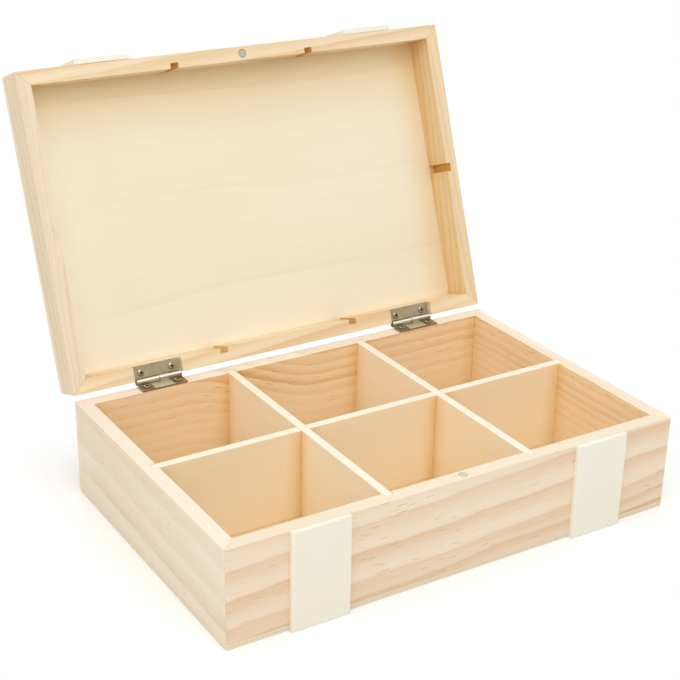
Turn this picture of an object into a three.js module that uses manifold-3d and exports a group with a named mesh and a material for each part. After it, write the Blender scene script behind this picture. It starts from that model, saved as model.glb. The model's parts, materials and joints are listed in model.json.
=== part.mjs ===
import * as THREE from "three";
import { mergeVertices } from "three/addons/utils/BufferGeometryUtils.js";
import Module from "manifold-3d";

const wasm = await Module();
wasm.setup();

// A pine storage chest with a hinged lid, in millimetres: +X right, +Y back, +Z up.
// The origin is under the middle of the base, and the lid stands open.

// Case
const chestWidth = 300;
const chestDepth = 194;
const baseHeight = 60;
const lidHeight = 24;
const wallThickness = 9;
const panelThickness = 3;
const cornerEase = 1.5;
const glueLine = 0.3;
const rimGap = 0.4;
const lidOpenAngle = 110;

// Dividers
const dividerThickness = 5;
const grooveDepth = 3.5;
const slotClearance = 0.2;

// Front slats
const slatWidth = 36;
const slatThickness = 3;
const slatInset = 37.5;
const slatEase = 0.8;

// Magnets
const magnetDiameter = 5;
const magnetThickness = 3;
const magnetChamfer = 0.2;
const magnetClearance = 0.2;

// Hinges
const hingeInset = 56;
const leafLength = 30;
const leafThickness = 1;
const leafSeat = 0.3;
const barrelRadius = 2.1;
const pinRadius = 1;
const pinChamfer = 0.2;
const pinClearance = 0.2;
const pinOverhang = 1;
const knuckleGap = 0.3;
const knuckleClearance = 0.4;
const recessEndGap = 1.25;

// Screws
const screwInset = 4.6;
const screwHeadDiameter = 4.6;
const screwHeadRim = 0.4;
const screwHeadHeight = 0.8;
const screwShankDiameter = 2.2;
const screwLength = 10;
const screwTip = 2;
const screwSeat = 0.1;
const screwClearance = 0.2;
const crossLength = 2.6;
const crossWidth = 0.7;
const crossDepth = 0.55;

// Facets
const roundSides = 24;
const easeSteps = 3;
const domeSteps = 4;
const overcut = 1;

// Worked out from the sizes above
const innerWidth = chestWidth - 2 * wallThickness;
const innerDepth = chestDepth - 2 * wallThickness;
const wallBottom = panelThickness + glueLine;
const wallHeight = baseHeight - wallBottom;
const lidBottom = baseHeight + rimGap;
const railHeight = lidHeight - panelThickness - glueLine;
const mitreSetBack = glueLine / Math.SQRT2;
const grooveWidth = dividerThickness + 2 * slotClearance;
const compartmentWidth = (innerWidth - 2 * dividerThickness) / 3;
const dividerPitch = compartmentWidth + dividerThickness;
const dividerReach = 2 * (grooveDepth - slotClearance);
const lapDepth = wallHeight / 2 + slotClearance;
const slatX = chestWidth / 2 - slatInset - slatWidth / 2;
const hingeX = chestWidth / 2 - hingeInset;
const pinY = chestDepth / 2 + pinOverhang;
const pinZ = baseHeight + leafSeat + barrelRadius;
const leafReach = pinOverhang + wallThickness;
const screwLine = pinOverhang + wallThickness / 2;
const leafTop = leafThickness - barrelRadius;
const leafHoleRadius = screwShankDiameter / 2 + screwClearance;
const recessLength = leafLength + 2 * recessEndGap;
const recessDepth = pinZ + barrelRadius + leafSeat - lidBottom;
const pilotDepth = screwLength - leafThickness - leafSeat - screwSeat + screwClearance;
const screwPlaces = [screwInset - leafLength / 2, leafLength / 2 - screwInset];
const shortDividerX = [-dividerPitch / 2, dividerPitch / 2];

// Finishes
function finish(color, roughness, metalness = 0) {
  return new THREE.MeshStandardMaterial({ color, roughness, metalness });
}
const pine = () => finish(0xe6cfb0, 0.62);
const plywood = () => finish(0xeadbb8, 0.66);
const birch = () => finish(0xefd9b4, 0.6);
const slatWood = () => finish(0xf0ebda, 0.58);
const nickel = () => finish(0xb4ab98, 0.3, 1);
const magnetSteel = () => finish(0x9a9a98, 0.35, 1);

// A closed geometry as a solid: shared corners merged, faces of no width at an axis dropped
function solidOf(geometry) {
  const bare = geometry.clone();
  bare.deleteAttribute("normal");
  bare.deleteAttribute("uv");
  const merged = mergeVertices(bare);
  const corners = merged.index.array;
  const triVerts = [];
  for (let i = 0; i < corners.length; i += 3) {
    const [a, b, c] = [corners[i], corners[i + 1], corners[i + 2]];
    if (a !== b && b !== c && c !== a) triVerts.push(a, b, c);
  }
  const mesh = new wasm.Mesh({
    numProp: 3,
    vertProperties: merged.attributes.position.array,
    triVerts: new Uint32Array(triVerts),
  });
  return new wasm.Manifold(mesh);
}

function geometryOf(solid) {
  const mesh = solid.getMesh();
  const geometry = new THREE.BufferGeometry();
  geometry.setAttribute("position", new THREE.BufferAttribute(mesh.vertProperties, 3));
  geometry.setIndex(new THREE.BufferAttribute(mesh.triVerts, 1));
  geometry.computeVertexNormals();
  return geometry;
}

function piece(name, solid, material) {
  const mesh = new THREE.Mesh(geometryOf(solid), material);
  mesh.name = name;
  return mesh;
}

// A box between two corners
function block(x0, y0, z0, x1, y1, z1) {
  const box = new THREE.BoxGeometry(x1 - x0, y1 - y0, z1 - z0);
  return solidOf(box.translate((x0 + x1) / 2, (y0 + y1) / 2, (z0 + z1) / 2));
}

// A round bar along Z between two heights
function roundBar(radius, x, y, z0, z1) {
  const bar = new THREE.CylinderGeometry(radius, radius, z1 - z0, roundSides);
  return solidOf(bar.rotateX(Math.PI / 2).translate(x, y, (z0 + z1) / 2));
}

// A round bar along X between two ends
function crossBar(radius, x0, x1) {
  const bar = new THREE.CylinderGeometry(radius, radius, x1 - x0, roundSides);
  return solidOf(bar.rotateZ(Math.PI / 2).translate((x0 + x1) / 2, 0, 0));
}

// A disc or pin along Z with chamfered ends, standing on its origin
function chamferedBar(radius, length, chamfer) {
  const profile = [
    new THREE.Vector2(0, 0),
    new THREE.Vector2(radius - chamfer, 0),
    new THREE.Vector2(radius, chamfer),
    new THREE.Vector2(radius, length - chamfer),
    new THREE.Vector2(radius - chamfer, length),
    new THREE.Vector2(0, length),
  ];
  return solidOf(new THREE.LatheGeometry(profile, roundSides).rotateX(Math.PI / 2));
}

// A flat outline raised along Z
function raised(outline, height) {
  const settings = { depth: height, bevelEnabled: false, curveSegments: easeSteps };
  return solidOf(new THREE.ExtrudeGeometry(outline, settings));
}

// A wall or lid rail, along X with its outer face at y = 0, mitred at both ends into eased corners
// and grooved on the inside for the dividers
function wallBoard(length, height, grooveCentres) {
  const half = length / 2;
  const drop = (mitreSetBack + Math.sqrt(2 * cornerEase ** 2 - mitreSetBack ** 2)) / 2;
  const mitreMeetsEase = Math.atan2(-drop, mitreSetBack - drop);
  const outline = new THREE.Shape();
  outline.absarc(-half + cornerEase, cornerEase, cornerEase, mitreMeetsEase, -Math.PI / 2);
  outline.absarc(half - cornerEase, cornerEase, cornerEase, -Math.PI / 2, -Math.PI - mitreMeetsEase);
  outline.lineTo(half - mitreSetBack - wallThickness, wallThickness);
  for (const centre of [...grooveCentres].reverse()) {
    outline.lineTo(centre + grooveWidth / 2, wallThickness);
    outline.lineTo(centre + grooveWidth / 2, wallThickness - grooveDepth);
    outline.lineTo(centre - grooveWidth / 2, wallThickness - grooveDepth);
    outline.lineTo(centre - grooveWidth / 2, wallThickness);
  }
  outline.lineTo(-half + mitreSetBack + wallThickness, wallThickness);
  outline.closePath();
  return raised(outline, height);
}

// The bottom or the lid panel, as wide and deep as the case
function coverPanel() {
  const [x, y, r] = [chestWidth / 2, chestDepth / 2, cornerEase];
  const outline = new THREE.Shape();
  outline.absarc(x - r, y - r, r, 0, 0.5 * Math.PI);
  outline.absarc(-x + r, y - r, r, 0.5 * Math.PI, Math.PI);
  outline.absarc(-x + r, -y + r, r, Math.PI, 1.5 * Math.PI);
  outline.absarc(x - r, -y + r, r, 1.5 * Math.PI, 2 * Math.PI);
  outline.closePath();
  return raised(outline, panelThickness);
}

// A divider along X, slotted where another crosses it, from the top or from below
function dividerBoard(length, slotCentres, slotFromTop) {
  const half = length / 2;
  const [slotEdge, slotFloor] = slotFromTop ? [wallHeight, wallHeight - lapDepth] : [0, lapDepth];
  const outline = new THREE.Shape();
  outline.moveTo(-half, wallHeight - slotEdge);
  outline.lineTo(half, wallHeight - slotEdge);
  outline.lineTo(half, slotEdge);
  for (const centre of [...slotCentres].reverse()) {
    outline.lineTo(centre + grooveWidth / 2, slotEdge);
    outline.lineTo(centre + grooveWidth / 2, slotFloor);
    outline.lineTo(centre - grooveWidth / 2, slotFloor);
    outline.lineTo(centre - grooveWidth / 2, slotEdge);
  }
  outline.lineTo(-half, slotEdge);
  outline.closePath();
  const upright = new THREE.ExtrudeGeometry(outline, { depth: dividerThickness, bevelEnabled: false });
  return solidOf(upright.rotateX(Math.PI / 2).translate(0, dividerThickness / 2, 0));
}

// A slat along Z with its back at y = 0 and its two front edges eased
function slat(height) {
  const half = slatWidth / 2;
  const outline = new THREE.Shape();
  outline.moveTo(half, 0);
  outline.lineTo(-half, 0);
  outline.lineTo(-half, -slatThickness + slatEase);
  outline.absarc(-half + slatEase, -slatThickness + slatEase, slatEase, Math.PI, 1.5 * Math.PI);
  outline.lineTo(half - slatEase, -slatThickness);
  outline.absarc(half - slatEase, -slatThickness + slatEase, slatEase, 1.5 * Math.PI, 2 * Math.PI);
  outline.closePath();
  return raised(outline, height);
}

// A hinge leaf about its pin, lying below it and reaching to -Y, with one knuckle on the +X half
function hingeLeaf() {
  const half = leafLength / 2;
  const clear = barrelRadius + knuckleClearance;
  const plate = block(-half, -leafReach, -barrelRadius, half, -clear, leafTop);
  const tongue = block(knuckleGap / 2, -clear - overcut, -barrelRadius, half, 0, leafTop);
  const knuckle = crossBar(barrelRadius, knuckleGap / 2, half);
  const bore = crossBar(pinRadius + pinClearance, -half - overcut, half + overcut);
  let leaf = plate.add(tongue).add(knuckle).subtract(bore);
  for (const x of screwPlaces) {
    const hole = roundBar(leafHoleRadius, x, -screwLine, -barrelRadius - overcut, leafTop + overcut);
    leaf = leaf.subtract(hole);
  }
  return leaf;
}

// A cross-head screw along -Z with the underside of its head at z = 0
function screw() {
  const [head, shank] = [screwHeadDiameter / 2, screwShankDiameter / 2];
  const dome = new THREE.QuadraticBezierCurve(
    new THREE.Vector2(head, screwHeadRim),
    new THREE.Vector2(head / 2, screwHeadHeight),
    new THREE.Vector2(0, screwHeadHeight),
  );
  const profile = [
    new THREE.Vector2(0, -screwLength),
    new THREE.Vector2(shank, -screwLength + screwTip),
    new THREE.Vector2(shank, 0),
    new THREE.Vector2(head, 0),
    ...dome.getPoints(domeSteps),
  ];
  const body = solidOf(new THREE.LatheGeometry(profile, roundSides).rotateX(Math.PI / 2));
  const [long, wide] = [crossLength / 2, crossWidth / 2];
  const floor = screwHeadHeight - crossDepth;
  const top = screwHeadHeight + overcut;
  const along = block(-long, -wide, floor, long, wide, top);
  const across = block(-wide, -long, floor, wide, long, top);
  return body.subtract(along).subtract(across);
}

// The pocket of a magnet at the middle of a board, sunk from the height of its rim
function magnetPocket(from, to) {
  return roundBar(magnetDiameter / 2 + magnetClearance, 0, wallThickness / 2, from, to);
}

// The screw holes of both hinges in a board, between two heights
function pilotHoles(board, from, to) {
  let drilled = board;
  for (const hinge of [-hingeX, hingeX]) {
    for (const place of screwPlaces) {
      drilled = drilled.subtract(roundBar(leafHoleRadius, hinge + place, wallThickness / 2, from, to));
    }
  }
  return drilled;
}

// The four boards of the base or the lid, standing on z = 0 of the group
function addBoards(group, names, boards) {
  const places = [
    { x: 0, y: -chestDepth / 2, turn: 0 },
    { x: 0, y: chestDepth / 2, turn: Math.PI },
    { x: -chestWidth / 2, y: 0, turn: -Math.PI / 2 },
    { x: chestWidth / 2, y: 0, turn: Math.PI / 2 },
  ];
  places.forEach((place, i) => {
    const board = piece(names[i], boards[i], pine());
    board.position.set(place.x, place.y, 0);
    board.rotation.z = place.turn;
    group.add(board);
  });
}

function addSlats(group, names, height) {
  names.forEach((name, i) => {
    const strip = piece(name, slat(height), slatWood());
    strip.position.set(i === 0 ? -slatX : slatX, -chestDepth / 2 - glueLine, 0);
    group.add(strip);
  });
}

function addMagnet(group, name, z) {
  const disc = chamferedBar(magnetDiameter / 2, magnetThickness, magnetChamfer);
  const magnet = piece(name, disc, magnetSteel());
  magnet.position.set(0, -chestDepth / 2 + wallThickness / 2, z);
  group.add(magnet);
}

// One leaf of a hinge with its two screws, about the pin
function hingeHalf(leafName, screwNames) {
  const half = new THREE.Group();
  half.add(piece(leafName, hingeLeaf(), nickel()));
  screwNames.forEach((name, i) => {
    const fastener = piece(name, screw(), nickel());
    fastener.position.set(screwPlaces[i], -screwLine, leafTop + screwSeat);
    half.add(fastener);
  });
  return half;
}

function makeBase() {
  const base = new THREE.Group();
  base.add(piece("bottom_panel", coverPanel(), plywood()));

  const walls = new THREE.Group();
  walls.position.z = wallBottom;
  const front = wallBoard(chestWidth, wallHeight, shortDividerX);
  const pocketFloor = wallHeight - magnetThickness - magnetClearance;
  const back = wallBoard(chestWidth, wallHeight, shortDividerX);
  const side = wallBoard(chestDepth, wallHeight, [0]);
  addBoards(walls, ["front_wall", "back_wall", "left_wall", "right_wall"], [
    front.subtract(magnetPocket(pocketFloor, wallHeight + overcut)),
    pilotHoles(back, wallHeight - pilotDepth, wallHeight + overcut),
    side,
    side,
  ]);
  addMagnet(walls, "base_magnet", wallHeight - magnetThickness);

  const longBoard = dividerBoard(innerWidth + dividerReach, shortDividerX, true);
  walls.add(piece("long_divider", longBoard, birch()));
  const shortBoard = dividerBoard(innerDepth + dividerReach, [0], false);
  ["left_short_divider", "right_short_divider"].forEach((name, i) => {
    const divider = piece(name, shortBoard, birch());
    divider.position.x = shortDividerX[i];
    divider.rotation.z = Math.PI / 2;
    walls.add(divider);
  });
  base.add(walls);

  addSlats(base, ["left_front_slat", "right_front_slat"], baseHeight);

  for (const [side, x] of [["left", -hingeX], ["right", hingeX]]) {
    const screws = [`${side}_hinge_base_screw_left`, `${side}_hinge_base_screw_right`];
    const half = hingeHalf(`${side}_hinge_base_leaf`, screws);
    half.position.set(x, pinY, pinZ);
    base.add(half);
    const rod = chamferedBar(pinRadius, leafLength, pinChamfer);
    const pin = piece(`${side}_hinge_pin`, rod, nickel());
    pin.position.set(x - leafLength / 2, pinY, pinZ);
    pin.rotation.y = Math.PI / 2;
    base.add(pin);
  }
  return base;
}

// The lid is placed as it lies when shut, then swung about the hinge pins
function makeLid() {
  const shut = new THREE.Group();
  shut.position.set(0, -pinY, lidBottom - pinZ);

  const front = wallBoard(chestWidth, railHeight, shortDividerX);
  let back = wallBoard(chestWidth, railHeight, shortDividerX);
  for (const x of [-hingeX, hingeX]) {
    const [near, far] = [x - recessLength / 2, x + recessLength / 2];
    back = back.subtract(block(near, -overcut, -overcut, far, wallThickness + overcut, recessDepth));
  }
  const side = wallBoard(chestDepth, railHeight, [0]);
  addBoards(shut, ["lid_front_rail", "lid_back_rail", "lid_left_rail", "lid_right_rail"], [
    front.subtract(magnetPocket(-overcut, magnetThickness + magnetClearance)),
    pilotHoles(back, recessDepth - overcut, recessDepth + pilotDepth),
    side,
    side,
  ]);
  addMagnet(shut, "lid_magnet", 0);

  const panel = piece("lid_panel", coverPanel(), plywood());
  panel.position.z = railHeight + glueLine;
  shut.add(panel);
  addSlats(shut, ["left_lid_slat", "right_lid_slat"], lidHeight);

  const lid = new THREE.Group();
  lid.position.set(0, pinY, pinZ);
  lid.rotation.x = THREE.MathUtils.degToRad(-lidOpenAngle);
  lid.add(shut);
  for (const [side, x] of [["left", -hingeX], ["right", hingeX]]) {
    const screws = [`${side}_hinge_lid_screw_right`, `${side}_hinge_lid_screw_left`];
    const half = hingeHalf(`${side}_hinge_lid_leaf`, screws);
    half.position.x = x;
    half.rotation.y = Math.PI;
    lid.add(half);
  }
  return lid;
}

const chest = new THREE.Group();
chest.add(makeBase());
chest.add(makeLid());

export default chest;
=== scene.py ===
import json
import math

import bmesh
import bpy
from mathutils import Matrix, Vector

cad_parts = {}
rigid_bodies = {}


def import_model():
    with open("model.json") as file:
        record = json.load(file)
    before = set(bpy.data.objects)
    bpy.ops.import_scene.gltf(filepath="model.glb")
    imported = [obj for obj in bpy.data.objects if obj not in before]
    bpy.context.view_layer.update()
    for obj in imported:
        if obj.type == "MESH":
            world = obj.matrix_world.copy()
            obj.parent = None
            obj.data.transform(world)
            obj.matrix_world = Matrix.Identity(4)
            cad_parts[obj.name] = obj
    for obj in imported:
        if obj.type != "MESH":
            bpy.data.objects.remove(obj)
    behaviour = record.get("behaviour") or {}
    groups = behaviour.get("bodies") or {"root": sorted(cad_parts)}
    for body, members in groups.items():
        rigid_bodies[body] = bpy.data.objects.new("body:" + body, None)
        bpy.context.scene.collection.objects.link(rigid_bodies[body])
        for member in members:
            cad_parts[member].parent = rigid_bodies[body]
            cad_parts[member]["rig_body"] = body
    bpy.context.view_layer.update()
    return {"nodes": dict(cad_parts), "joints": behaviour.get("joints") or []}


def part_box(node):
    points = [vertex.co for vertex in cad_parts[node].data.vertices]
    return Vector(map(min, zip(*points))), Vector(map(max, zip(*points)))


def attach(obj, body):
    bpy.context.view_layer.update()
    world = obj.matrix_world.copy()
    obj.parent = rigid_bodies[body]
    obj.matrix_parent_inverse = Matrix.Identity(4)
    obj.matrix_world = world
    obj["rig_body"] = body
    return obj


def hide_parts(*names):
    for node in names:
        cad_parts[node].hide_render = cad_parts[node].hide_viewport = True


# a pine storage chest with six compartments, a hinged lid and pale trim slats
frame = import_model()
print("frame loaded,", len(frame["nodes"]), "nodes")

mm = 0.001

# the lid is packed open, so its boards are turned shut to be measured and dressed
lidHinge = frame["joints"][0]
hingePoint = Vector(lidHinge["pos_m"])
lidSwing = math.radians(lidHinge["range_deg"][1])
openLid = (
    Matrix.Translation(hingePoint)
    @ Matrix.Rotation(-lidSwing, 4, Vector(lidHinge["axis"]))
    @ Matrix.Translation(-hingePoint)
)
atRest = {"base": Matrix.Identity(4), "lid": openLid}

# inside faces and divider grooves, in millimetres from the middle of the chest
insideX = -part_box("left_wall")[1][0] / mm
insideY = -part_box("front_wall")[1][1] / mm
dividerNear, dividerFar = (corner[0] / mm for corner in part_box("right_short_divider"))
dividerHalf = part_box("long_divider")[1][1] / mm
wallHalf = (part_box("right_wall")[1][0] / mm - insideX) / 2
grooveShadeMargin = 0.3  # the painted groove shade reaches this far past the divider
grooveHalf = dividerHalf + grooveShadeMargin
grooveFloor = wallHalf - (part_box("long_divider")[1][0] / mm - insideX) - grooveShadeMargin


def srgb(code):
    # hex colour as written in a paint chart, to linear light
    parts = [int(code[i:i + 2], 16) / 255 for i in (1, 3, 5)]
    linear = [p / 12.92 if p <= 0.04045 else ((p + 0.055) / 1.055) ** 2.4 for p in parts]
    return (*linear, 1.0)


# shorthand for shader trees
def addNode(tree, kind, inputs=None, **settings):
    made = tree.nodes.new("ShaderNode" + kind)
    for name, value in settings.items():
        setattr(made, name, value)
    for key, value in (inputs or {}).items():
        if isinstance(value, bpy.types.NodeSocket):
            tree.links.new(value, made.inputs[key])
        else:
            made.inputs[key].default_value = value
    return made


def calc(tree, operation, *terms, clamp=False):
    made = addNode(tree, "Math", dict(enumerate(terms)), operation=operation, use_clamp=clamp)
    return made.outputs[0]


def vectorCalc(tree, operation, *terms):
    made = addNode(tree, "VectorMath", dict(enumerate(terms)), operation=operation)
    return made.outputs["Value" if operation in ("LENGTH", "DOT_PRODUCT") else "Vector"]


def axisOf(tree, vector, axis):
    return addNode(tree, "SeparateXYZ", {0: vector}).outputs[axis]


def stretched(tree, place, scale, offset=(0.0, 0.0, 0.0)):
    made = addNode(tree, "Mapping", {"Vector": place, "Scale": scale, "Location": offset})
    return made.outputs["Vector"]


def cloud(tree, place, detail, rough=0.5):
    inputs = {"Vector": place, "Scale": 1.0, "Detail": detail, "Roughness": rough}
    return addNode(tree, "TexNoise", inputs).outputs


def centred(tree, noise):
    return calc(tree, "SUBTRACT", noise, 0.5)


def luck(tree, number):
    # a fixed chance value for each whole number
    return addNode(tree, "TexWhiteNoise", {"W": number}, noise_dimensions="1D").outputs["Value"]


def spread(tree, value, low, high, outLow=0.0, outHigh=1.0, smooth=False):
    made = addNode(
        tree, "MapRange",
        {"Value": value, "From Min": low, "From Max": high, "To Min": outLow, "To Max": outHigh},
        interpolation_type="SMOOTHSTEP" if smooth else "LINEAR",
    )
    return made.outputs["Result"]


def ramp(tree, factor, stops):
    made = addNode(tree, "ValToRGB", {"Fac": factor})
    band = made.color_ramp
    while len(band.elements) < len(stops):
        band.elements.new(0.5)
    for element, (position, tone) in zip(band.elements, stops):
        element.position = position
        element.color = tone if not isinstance(tone, (int, float)) else (tone, tone, tone, 1.0)
    return made.outputs["Color"]


def mixColour(tree, factor, first, second, mode="MIX"):
    made = addNode(tree, "Mix", {0: factor, 6: first, 7: second}, data_type="RGBA", blend_type=mode)
    return made.outputs[2]


def bumpFrom(tree, height, depth, strength):
    made = addNode(tree, "Bump", {"Height": height, "Distance": depth * mm, "Strength": strength})
    return made.outputs["Normal"]


def newFinish(name):
    finish = bpy.data.materials.new(name)
    finish.use_nodes = True
    tree = finish.node_tree
    return finish, tree, tree.nodes["Principled BSDF"]


patternShift = (731.0, 97.0, 53.0)  # millimetres from one board's pattern to the next


def ownPlace(tree, seed):
    # millimetres in the board's own frame, then moved so that no two boards share a pattern
    place = addNode(tree, "TexCoord").outputs["Object"]
    scaled = vectorCalc(tree, "MULTIPLY", place, (1 / mm, 1 / mm, 1 / mm))
    moved = vectorCalc(tree, "ADD", scaled, tuple(seed * step for step in patternShift))
    return scaled, moved


# how squarely a face looks along an axis, where a tone starts and where it is full
faceTurn = {
    "rim": (0.5, 0.95), "rimCore": (0.8, 0.95), "inside": (0.5, 0.9),
    "sideShade": (0.8, 0.3), "highlight": (0.88, 0.97), "reflected": (0.85, 0.97),
}


def facing(tree, axis):
    return axisOf(tree, addNode(tree, "TexCoord").outputs["Normal"], axis)


def sandedRim(tree, tone, colour, look):
    # rims and top edges are sanded paler than the faces, with fainter grain
    level = calc(tree, "ABSOLUTE", facing(tree, "Z"))
    sanded = spread(tree, level, *faceTurn["rim"], 0.0, look["rimPale"], smooth=True)
    grain = calc(tree, "MULTIPLY", tone, look["rimGrain"])
    pale = mixColour(tree, grain, srgb(look["rim"]), srgb(look["band"]))
    return mixColour(tree, sanded, colour, pale)


def insideFaces(tree, look):
    axis, side = look["inside"]  # side 0 means both faces of the board
    turn = facing(tree, axis)
    turn = calc(tree, "MULTIPLY", turn, side) if side else calc(tree, "ABSOLUTE", turn)
    return spread(tree, turn, *faceTurn["inside"])


def paintedDeepLight(tree, own, colour, look):
    # painted light: an inside face is paler further into the box, standing in for light bounced there
    start, full, share = look["deepLight"]
    litShare = spread(tree, axisOf(tree, own, "Z"), start, full, 0.0, share, smooth=True)
    litShare = calc(tree, "MULTIPLY", litShare, insideFaces(tree, look))
    return mixColour(tree, litShare, colour, srgb(look["deepLightTone"]))


def paintedNookShade(tree, own, colour, look):
    # painted shade: inside faces get a warmer, darker tone near the listed corners and depths, where shade
    # falls
    axes = addNode(tree, "SeparateXYZ", {0: own}).outputs
    paintedShade = 0.0
    for axis, place, share, reach in look["nooks"]:
        off = calc(tree, "ABSOLUTE", calc(tree, "SUBTRACT", axes[axis], place))
        near = spread(tree, off, 0.0, reach, share, 0.0, smooth=True)
        paintedShade = calc(tree, "ADD", near, paintedShade, clamp=True)
    paintedShade = calc(tree, "MULTIPLY", paintedShade, insideFaces(tree, look))
    return mixColour(tree, paintedShade, colour, srgb(look["nookShade"]), "MULTIPLY")


def paintedEdgeLight(tree, own, colour, look):
    # painted light: the inside face is paler along one edge, to lift the shadow that the rail beside it casts
    place, reach = look["paintedEdgeLight"]
    off = calc(tree, "ABSOLUTE", calc(tree, "SUBTRACT", axisOf(tree, own, "X"), place))
    near = spread(tree, off, 0.0, reach, 1.0, 0.0, smooth=True)
    near = calc(tree, "MULTIPLY", near, insideFaces(tree, look))
    return mixColour(tree, near, colour, srgb(look["edgeLightTone"]))


def paintedGrooveShade(tree, own, colour, look):
    # painted shade: the divider grooves are darker, where shade falls in them
    axes = addNode(tree, "SeparateXYZ", {0: own}).outputs
    off = calc(tree, "SUBTRACT", calc(tree, "ABSOLUTE", axes["X"]), look["groove"])
    across = calc(tree, "LESS_THAN", calc(tree, "ABSOLUTE", off), grooveHalf)
    inward = calc(tree, "MULTIPLY", axes["Y"], look["inside"][1])
    grooveShade = calc(tree, "MULTIPLY", across, calc(tree, "GREATER_THAN", inward, grooveFloor))
    return mixColour(tree, grooveShade, colour, srgb(look["grooveShade"]), "MULTIPLY")


# solid pine: growth rings about a leaning pith, fibres, resin dashes
# noise scales are per millimetre, along the grain and then across it
pineGrain = {
    "waveAcross": (0.02, 0.02), "ripple": (0.03, 0.08, 0.08), "fibre": (0.02, 0.9, 0.9),
    "pore": (0.09, 3.2, 3.2), "patch": (0.006, 0.03, 0.03), "unevenScale": 0.7,
    "ringStart": 0.6, "ringPale": 0.1,
    "ringProfile": [(0.25, 0.08), (0.45, 0.3), (0.7, 0.62), (0.92, 0.78), (1.0, 0.88)],
    "dash": (0.042, 0.7, 0.7), "dashEdge": (0.07, 0.18),
    "cluster": (0.018, 0.07, 0.07), "clusterShift": (5.0, 0.0, 3.0),
    "clusterStart": 0.64, "clusterFull": 0.74, "clusterShare": 0.2,
    "toneBase": 0.1, "midTone": 0.45,
    "warmPatch": (0.3, 0.75), "warmShare": 0.35, "poreRange": (0.3, 0.7), "poreShade": (0.95, 1.03),
}
pineSurface = {
    "rough": 0.5, "fibreRough": 0.18, "toneRough": -0.08,
    "fibreHeight": 0.8, "poreHeight": 0.6, "toneHeight": 0.5, "dashHeight": -0.7,
    "relief": 0.1, "reliefShare": 0.5, "specular": 0.28,
}


def leaningTrunk(tree, own, moved, look):
    # the board's place in the trunk, from the pith: slow wander, small ripple, a step and a lean
    slow = cloud(tree, stretched(tree, moved, (1 / look["waveLength"], *pineGrain["waveAcross"])), 1.5)
    ripple = cloud(tree, stretched(tree, moved, pineGrain["ripple"]), 3.0)
    bent = own
    for noise, depth in ((slow, look["wave"]), (ripple, look["quiver"])):
        sway = vectorCalc(tree, "SUBTRACT", noise["Color"], (0.5, 0.5, 0.5))
        sway = vectorCalc(tree, "MULTIPLY", sway, (0.0, depth, depth))
        bent = vectorCalc(tree, "ADD", bent, sway)
    if "drop" in look:  # ring lines step down between two places along the board
        start, end, depth = look["drop"]
        sag = spread(tree, axisOf(tree, own, "X"), start, end, 0.0, depth, smooth=True)
        bent = vectorCalc(tree, "ADD", bent, addNode(tree, "CombineXYZ", {2: sag}).outputs[0])
    tilt, yaw = (math.radians(angle) for angle in look["lean"])
    pithY, pithZ = look["pith"]
    lean = {"Vector": bent, "Rotation": (0.0, tilt, yaw), "Location": (0.0, -pithY, -pithZ)}
    return addNode(tree, "Mapping", lean).outputs["Vector"]


def growthRings(tree, own, radius, fibre, look):
    # each ring darkens slowly outward and ends at a sharp edge, some rings stronger than others
    count = calc(tree, "MULTIPLY_ADD", radius, 1 / look["ringWidth"], look["phase"])
    if "crowd" in look:  # the innermost rings lie closer together
        inward = calc(tree, "MINIMUM", calc(tree, "SUBTRACT", radius, look["crowd"]["radius"]), 0.0)
        count = calc(tree, "MULTIPLY_ADD", inward, look["crowd"]["extra"], count)
    noise = {"W": count, "Scale": pineGrain["unevenScale"], "Detail": 1.0}
    uneven = addNode(tree, "TexNoise", noise, noise_dimensions="1D").outputs["Fac"]
    count = calc(tree, "MULTIPLY_ADD", uneven, look["uneven"], count)
    count = calc(tree, "MULTIPLY_ADD", centred(tree, fibre), look["feather"], count)
    ringNumber = calc(tree, "FLOOR", count)
    profile = [(0.0, pineGrain["ringStart"]), (look["edge"], pineGrain["ringPale"])]
    edge = ramp(tree, calc(tree, "FRACT", count), profile + pineGrain["ringProfile"])
    ringLuck = luck(tree, calc(tree, "ADD", ringNumber, look["seed"]))
    strength = spread(tree, ringLuck, 0.0, 1.0, look["weakest"], look["strongest"])
    if "boldRing" in look:  # one ring stands out and fades along the board
        ring, start, end = look["boldRing"]
        fading = spread(tree, axisOf(tree, own, "X"), start, end, 1.0, 0.0, smooth=True)
        bold = calc(tree, "MULTIPLY", calc(tree, "COMPARE", ringNumber, ring, 0.5), fading)
        strength = calc(tree, "MAXIMUM", strength, bold)
    return calc(tree, "MULTIPLY", edge, strength)


def resinDashes(tree, turned, moved, look):
    # short dark dashes, in clusters
    place = vectorCalc(tree, "ADD", turned, (look["seed"] * patternShift[0], 0.0, 0.0))
    cells = {"Vector": stretched(tree, place, pineGrain["dash"]), "Scale": 1.0}
    off = addNode(tree, "TexVoronoi", cells, feature="F1").outputs["Distance"]
    dash = spread(tree, off, *pineGrain["dashEdge"], 1.0, 0.0, smooth=True)
    place = stretched(tree, moved, pineGrain["cluster"], pineGrain["clusterShift"])
    more = pineGrain["clusterShare"] * look["dashes"]
    start, full = pineGrain["clusterStart"] - more, pineGrain["clusterFull"] - more
    cluster = spread(tree, cloud(tree, place, 1.0)["Fac"], start, full, smooth=True)
    return calc(tree, "MULTIPLY", dash, cluster)


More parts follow.
